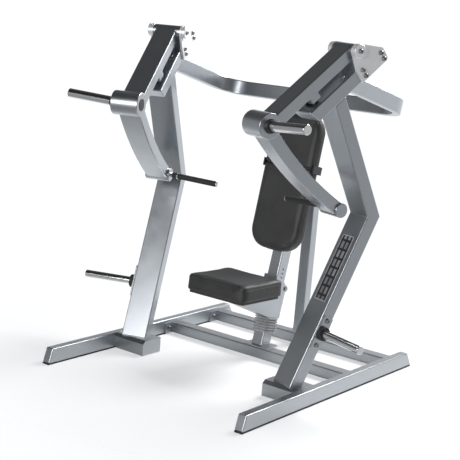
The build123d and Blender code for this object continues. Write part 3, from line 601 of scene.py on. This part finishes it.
def blow_out(obj, values, thickness, half_width):
    """Inflate the cover, hold its back flat, and keep every point near where it began."""
    activate(obj)
    remesh = obj.modifiers.new("Even grain", "REMESH")
    remesh.mode = "VOXEL"
    remesh.voxel_size = values.voxel
    bpy.ops.object.modifier_apply(modifier=remesh.name)
    start = [v.co.copy() for v in obj.data.vertices]
    held = obj.vertex_groups.new(name="held")
    held.add([v.index for v in obj.data.vertices if v.co.z < values.voxel], 1.0, "REPLACE")
    cloth = obj.modifiers.new("Cover", "CLOTH")
    cloth.settings.vertex_group_mass = held.name
    cloth.settings.use_pressure = True
    cloth.settings.uniform_pressure_force = values.pressure
    cloth.settings.effector_weights.gravity = 0.0
    cloth.settings.quality = 5
    cloth.point_cache.frame_start = 1
    cloth.point_cache.frame_end = CLOTH_FRAMES
    for step in range(1, CLOTH_FRAMES + 1):
        bpy.context.scene.frame_set(step)
    bpy.ops.object.modifier_apply(modifier=cloth.name)
    bpy.context.scene.frame_set(1)
    for vertex, was in zip(obj.data.vertices, start):
        move = vertex.co - was
        if move.length > values.swell:
            vertex.co = was + move.normalized() * values.swell
        vertex.co.x = min(max(vertex.co.x, -half_width), half_width)
        vertex.co.z = min(max(vertex.co.z, 0.0), thickness)
    obj.vertex_groups.clear()
    smooth = obj.modifiers.new("Ease", "SMOOTH")
    smooth.factor = 0.5
    smooth.iterations = 5
    bpy.ops.object.modifier_apply(modifier=smooth.name)
    finer = obj.modifiers.new("Finer", "SUBSURF")
    finer.levels = finer.render_levels = 1
    bpy.ops.object.modifier_apply(modifier=finer.name)
    bpy.ops.object.shade_smooth()


def welt(name, obj, outline, height, radius):
    """Piping laid on the cushion's side, at one height above its back."""
    tree = BVHTree.FromPolygons([v.co for v in obj.data.vertices], [p.vertices for p in obj.data.polygons])
    tops = [y for _, y in outline]
    low, high = min(tops), max(tops)
    reach = max(x for x, _ in outline)
    loop = []
    for i, (x, y) in enumerate(outline):
        here, after = Vector((x, y, height)), Vector((*outline[(i + 1) % len(outline)], height))
        count = max(1, round((after - here).length / WELT_STEP))
        for j in range(count):
            point = here.lerp(after, j / count)
            core = Vector((0, min(max(point.y, low + reach), high - reach), height))
            outward = (point - core).normalized()
            hit = tree.ray_cast(point + outward * WELT_REACH, -outward)[0]
            loop.append(hit if hit else point)
    return tube(name, loop, [radius] * len(loop), sides=8)


def tube(name, loop, radii, sides=8):
    """A closed round bead along a ring of points."""
    mesh = bpy.data.meshes.new(name)
    work = bmesh.new()
    rings = []
    count = len(loop)
    centre = sum(loop, Vector()) / count
    for i, point in enumerate(loop):
        along = (loop[(i + 1) % count] - loop[i - 1]).normalized()
        side = along.cross((point - centre).cross(along)).normalized()
        lift = along.cross(side)
        ring = []
        for k in range(sides):
            angle = 2 * math.pi * k / sides
            ring.append(work.verts.new(point + (side * math.cos(angle) + lift * math.sin(angle)) * radii[i]))
        rings.append(ring)
    for i in range(count):
        first, second = rings[i], rings[(i + 1) % count]
        for k in range(sides):
            work.faces.new((first[k], first[(k + 1) % sides], second[(k + 1) % sides], second[k]))
    bmesh.ops.recalc_face_normals(work, faces=work.faces)
    for face in work.faces:
        face.smooth = True
    work.to_mesh(mesh)
    work.free()
    return mesh


def make_cushion(name, node, body, turn, low_radius, high_radius, channel=None):
    """A crowned cushion in the space of its plain block; turn takes its own axes to the machine's."""
    values = settings().cushions
    local = [turn.inverted() @ p for p in node_points(node)]
    low = Vector([min(p[i] for p in local) for i in range(3)])
    high = Vector([max(p[i] for p in local) for i in range(3)])
    width, length, thickness = high - low
    outline = rounded_outline(width, length, low_radius, high_radius)
    inset = values.swell * BLANK_INSET_SHARE
    blank_thickness = thickness - values.swell * BLANK_DROP_SHARE
    mesh = pad_blank(name, outline, inset, blank_thickness, values.rim)
    obj = new_piece(name, mesh, body, materials["black_vinyl"])
    blow_out(obj, values, thickness, width / 2)
    place = turn.to_4x4() @ Matrix.Translation(((low.x + high.x) / 2, low.y, low.z))
    if channel:
        press_channel(obj, values, thickness, length * channel)
    piping = welt(name + "_piping", obj, outline, thickness * WELT_HEIGHT_SHARE, values.piping)
    obj.data.transform(place)
    piping.transform(place)
    seam = new_piece(name + "_piping", piping, body, materials["black_vinyl"])
    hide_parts(node)
    return obj, seam


# ------------------------------------------------------------------ welds
def ring_on_plane(node, origin, normal, reach=0.0006):
    """The outline of a steel section where it meets a plane, in order round its middle."""
    near = [p for p in node_points(node) if abs((p - origin).dot(normal)) < reach]
    if len(near) < 4:
        raise RuntimeError("no edge of " + node + " lies on the weld plane")
    middle = sum(near, Vector()) / len(near)
    across = normal.orthogonal().normalized()
    other = normal.cross(across)
    flat = [((p - middle).dot(across), (p - middle).dot(other)) for p in near]
    hull = convex_ring(flat)
    return [middle + across * x + other * y for x, y in hull]


def convex_ring(points):
    """The convex outline of flat points, anticlockwise."""
    points = sorted(set((round(x, 5), round(y, 5)) for x, y in points))

    def half(run):
        chain = []
        for p in run:
            while len(chain) > 1 and turn_of(chain[-2], chain[-1], p) <= 1e-10:
                chain.pop()
            chain.append(p)
        return chain[:-1]

    return half(points) + half(points[::-1])


def turn_of(a, b, c):
    return (b[0] - a[0]) * (c[1] - a[1]) - (b[1] - a[1]) * (c[0] - a[0])


def weld_along(name, ring, body, values):
    """A rippled bead laid round a joint."""
    length = sum((ring[i] - ring[i - 1]).length for i in range(len(ring)))
    step = length / max(12, round(length / values.ripple * 2))
    loop = []
    for i, here in enumerate(ring):
        after = ring[(i + 1) % len(ring)]
        count = max(1, round((after - here).length / step))
        loop += [here.lerp(after, j / count) for j in range(count)]
    radii = [values.bead * (1.0 + 0.16 * math.cos(math.pi * i)) for i in range(len(loop))]
    return new_piece(name, tube(name, loop, radii, sides=6), body, materials["weld"])


# ------------------------------------------------------------------ screws
def screw_head(radius, height):
    """One round head with a round recess in its top, standing on the origin."""
    deselect()
    bpy.ops.mesh.primitive_cylinder_add(vertices=20, radius=radius, depth=height, location=(0, 0, height / 2))
    obj = bpy.context.object
    bpy.ops.object.mode_set(mode="EDIT")
    bpy.ops.mesh.select_all(action="DESELECT")
    work = bmesh.from_edit_mesh(obj.data)
    for face in work.faces:
        face.select_set(face.normal.z > 0.9)
    bmesh.update_edit_mesh(obj.data)
    bpy.ops.mesh.bevel(offset=height * 0.45, segments=3)
    bpy.ops.mesh.inset(thickness=radius * 0.28)
    bpy.ops.mesh.extrude_region_move(TRANSFORM_OT_translate={"value": (0, 0, -height * 0.45)})
    bpy.ops.object.mode_set(mode="OBJECT")
    bake_place(obj)
    mesh = obj.data.copy()
    bpy.data.objects.remove(obj)
    return mesh


def scatter_screws(name, places, axis, body):
    """Copies of one screw head at places, all facing along axis, as one piece."""
    values = settings().trim
    head = screw_head(values.screw, values.screw * 0.55)
    turn = Vector((0, 0, 1)).rotation_difference(axis).to_matrix().to_4x4()
    work = bmesh.new()
    for place in places:
        copy = head.copy()
        copy.transform(Matrix.Translation(place) @ turn)
        work.from_mesh(copy)
        bpy.data.meshes.remove(copy)
    mesh = bpy.data.meshes.new(name)
    work.to_mesh(mesh)
    work.free()
    obj = new_piece(name, mesh, body, materials["bolt_steel"])
    activate(obj)
    bpy.ops.object.shade_smooth_by_angle(angle=math.radians(35))
    return obj


def board_places(node, turn, face, spread_x, rows):
    """Rows of paired points on a board's face, in the machine's axes."""
    local = [turn.inverted() @ p for p in node_points(node)]
    low = Vector([min(p[i] for p in local) for i in range(3)])
    high = Vector([max(p[i] for p in local) for i in range(3)])
    height = high.z if face > 0 else low.z
    places = []
    for row in rows:
        for side in (-1, 1):
            x = side * spread_x * (high.x - low.x) / 2
            places.append(turn @ Vector((x, low.y + row * (high.y - low.y), height)))
    return places


def seat_turn():
    tilt = settings().cushions.seat_tilt
    return Matrix(((1, 0, 0), (0, math.cos(tilt), math.sin(tilt)), (0, -math.sin(tilt), math.cos(tilt))))


def back_turn():
    lean = settings().cushions.back_lean
    return Matrix(((1, 0, 0), (0, math.sin(lean), -math.cos(lean)), (0, math.cos(lean), math.sin(lean))))


# ------------------------------------------------------------------ operators
class PRESS_OT_finishes(bpy.types.Operator):
    """Give every steel, rubber and plastic part its finish"""
    bl_idname = "press.finishes"
    bl_label = "Finishes"

    def execute(self, context):
        materials.update(make_materials())
        slots = {part["node"]: part["material_slot"] for part in frame["record"]["subparts"]}
        for name, obj in frame["nodes"].items():
            for slot in obj.material_slots:
                slot.material = materials[slots[name]]
        return {"FINISHED"}


class PRESS_OT_seat_cushion(bpy.types.Operator):
    """Upholster the seat"""
    bl_idname = "press.seat_cushion"
    bl_label = "Seat cushion"

    def execute(self, context):
        corner = settings().cushions.seat_corner
        make_cushion("seat_cushion", "seat_pad", "seat", seat_turn(), corner, corner)
        return {"FINISHED"}


class PRESS_OT_back_cushion(bpy.types.Operator):
    """Upholster the back pad"""
    bl_idname = "press.back_cushion"
    bl_label = "Back cushion"

    def execute(self, context):
        values = settings().cushions
        make_cushion(
            "back_cushion", "back_pad", "frame", back_turn(),
            values.back_bottom_corner, values.back_top_corner,
            values.channel_share)
        return {"FINISHED"}


class PRESS_OT_welds(bpy.types.Operator):
    """Lay weld beads where the uprights meet their feet and top beams"""
    bl_idname = "press.welds"
    bl_label = "Weld beads"

    def execute(self, context):
        values = settings().trim
        for side, sign in (("right", 1), ("left", -1)):
            joint = next(j for j in frame["joints"] if j["name"] == side + "_arm_swing")
            outward = Vector((-joint["axis"][0], -joint["axis"][1], 0)) * sign
            forward = Vector((0, 0, 1)).cross(outward) * -sign
            across = Vector((0, 0, 1)) * math.cos(values.arm_slope) + forward * math.sin(values.arm_slope)
            node = side + "_upright"
            points = node_points(node)
            foot = min(points, key=lambda p: p.z)
            weld_along(side + "_foot_weld", ring_on_plane(node, foot, Vector((0, 0, 1))), "frame", values)
            head = max(points, key=lambda p: p.dot(across))
            weld_along(side + "_head_weld", ring_on_plane(node, head, across), "frame", values)
        return {"FINISHED"}


class PRESS_OT_screws(bpy.types.Operator):
    """Put the screws that hold the cushions in the backs of their boards"""
    bl_idname = "press.screws"
    bl_label = "Board screws"

    def execute(self, context):
        turn = back_turn()
        places = board_places("back_board", turn, -1, 0.72, (0.12, 0.36, 0.62, 0.86))
        scatter_screws("back_board_screws", places, -(turn @ Vector((0, 0, 1))), "frame")
        turn = seat_turn()
        places = board_places("seat_board", turn, -1, 0.68, (0.18, 0.82))
        scatter_screws("seat_board_screws", places, -(turn @ Vector((0, 0, 1))), "seat")
        return {"FINISHED"}


class PRESS_OT_stage(bpy.types.Operator):
    """Floor, room light, lamps and camera"""
    bl_idname = "press.stage"
    bl_label = "Stage"

    def execute(self, context):
        values = settings().studio
        make_floor()
        make_room(values)
        make_lamp("key_light", place=(0.8, 3.4, 4.4), size=2.8, power=values.key)
        make_lamp("front_light", place=(0.6, -6.5, 2.4), size=3.4, power=values.fill)
        make_camera(values)
        context.scene.view_settings.view_transform = "Standard"
        return {"FINISHED"}


def make_floor():
    """A pale floor that fades into the white room a few metres out."""
    deselect()
    bpy.ops.mesh.primitive_circle_add(vertices=96, radius=9, fill_type="NGON", location=(0, 0, 0))
    floor = bpy.context.object
    floor.name = "studio_floor"
    bake_place(floor)
    finish = Finish("studio_floor", (0.93, 0.93, 0.93), roughness=0.8)
    cloud = noise(finish.tree, 0.6, 3.0)
    shade = finish.colors(cloud.outputs["Fac"], (0.3, (0.92, 0.92, 0.92)), (0.7, (0.95, 0.95, 0.95)))
    finish.link(shade, "Base Color")
    place = add(finish.tree, "TexCoord")
    reach = add(finish.tree, "VectorMath", operation="LENGTH")
    finish.tree.links.new(place.outputs["Object"], reach.inputs[0])
    fade = add(finish.tree, "MapRange", interpolation_type="SMOOTHSTEP")
    fade.inputs["From Min"].default_value = 0.7
    fade.inputs["From Max"].default_value = 2.3
    fade.inputs["To Min"].default_value = 0.5
    fade.inputs["To Max"].default_value = 0.0
    finish.tree.links.new(reach.outputs["Value"], fade.inputs["Value"])
    finish.link(fade.outputs[0], "Alpha")
    floor.data.materials.append(finish.material)


def make_room(values):
    """A white cove low down, under a dark ceiling, dimmer behind the camera and on the right."""
    world = bpy.data.worlds.new("studio_room")
    bpy.context.scene.world = world
    world.use_nodes = True
    tree = world.node_tree
    place = add(tree, "TexCoord")
    split = add(tree, "SeparateXYZ")
    tree.links.new(place.outputs["Generated"], split.inputs[0])
    shares = []
    for axis, start, end, first, last in (
            ("Z", 0.16, 0.42, 1.0, values.ceiling),
            ("Y", -0.3, 0.2, values.near_side, 1.0),
            ("X", 0.55, 0.95, 1.0, values.right_side)):
        ramp = add(tree, "MapRange", interpolation_type="SMOOTHSTEP")
        for label, value in (("From Min", start), ("From Max", end), ("To Min", first), ("To Max", last)):
            ramp.inputs[label].default_value = value
        tree.links.new(split.outputs[axis], ramp.inputs["Value"])
        shares.append(ramp.outputs[0])
    total = values.horizon
    for share in shares:
        total = math_node(tree, "MULTIPLY", share, total)
    tree.links.new(total, tree.nodes["Background"].inputs["Strength"])
    tree.nodes["Background"].inputs["Color"].default_value = (0.97, 0.985, 1.0, 1.0)


def make_lamp(name, place, size, power):
    data = bpy.data.lights.new(name, "AREA")
    data.shape = "DISK"
    data.size = size
    data.energy = power
    lamp = bpy.data.objects.new(name, data)
    bpy.context.scene.collection.objects.link(lamp)
    lamp.location = place
    lamp.rotation_euler = (Vector((0, 0, 0.9)) - Vector(place)).to_track_quat("-Z", "Y").to_euler()


def make_camera(values):
    data = bpy.data.cameras.new("camera")
    data.lens = values.lens
    data.sensor_width = 36.0
    camera = bpy.data.objects.new("camera", data)
    bpy.context.scene.collection.objects.link(camera)
    ahead = Vector((
        -math.sin(values.yaw) * math.cos(values.pitch),
        math.cos(values.yaw) * math.cos(values.pitch),
        math.sin(values.pitch),
    ))
    right = Vector((math.cos(values.yaw), math.sin(values.yaw), 0))
    up = right.cross(ahead)
    across = right * math.cos(values.roll) + up * math.sin(values.roll)
    upright = up * math.cos(values.roll) - right * math.sin(values.roll)
    turn = Matrix((across, upright, -ahead)).transposed()
    camera.matrix_world = Matrix.Translation(values.place) @ turn.to_4x4()
    bpy.context.scene.camera = camera


# ------------------------------------------------------------------ add-on
class ChestPress(bpy.types.PropertyGroup):
    cushions: PointerProperty(type=PressCushions, name="Cushions", description="Sizes of the cushions")
    trim: PointerProperty(type=PressTrim, name="Trim", description="Sizes of welds and screws")
    finish: PointerProperty(type=PressFinish, name="Finish", description="Colours")
    studio: PointerProperty(type=PressStudio, name="Studio", description="Lights and camera")


steps = (
    PRESS_OT_finishes,
    PRESS_OT_seat_cushion,
    PRESS_OT_back_cushion,
    PRESS_OT_welds,
    PRESS_OT_screws,
    PRESS_OT_stage,
)


class PRESS_PT_panel(bpy.types.Panel):
    """The steps that build the machine's looks"""
    bl_idname = "PRESS_PT_panel"
    bl_label = "Chest press"
    bl_space_type = "VIEW_3D"
    bl_region_type = "UI"
    bl_category = "Chest press"

    def draw(self, context):
        for step in steps:
            self.layout.operator(step.bl_idname)


classes = (PressCushions, PressTrim, PressFinish, PressStudio, ChestPress, *steps, PRESS_PT_panel)


def register():
    for item in classes:
        bpy.utils.register_class(item)
    bpy.types.Scene.chest_press = PointerProperty(type=ChestPress)


def unregister():
    del bpy.types.Scene.chest_press
    for item in reversed(classes):
        bpy.utils.unregister_class(item)


def main():
    register()
    for step in steps:
        area, name = step.bl_idname.split(".")
        getattr(getattr(bpy.ops, area), name)()


if __name__ == "__main__":
    main()
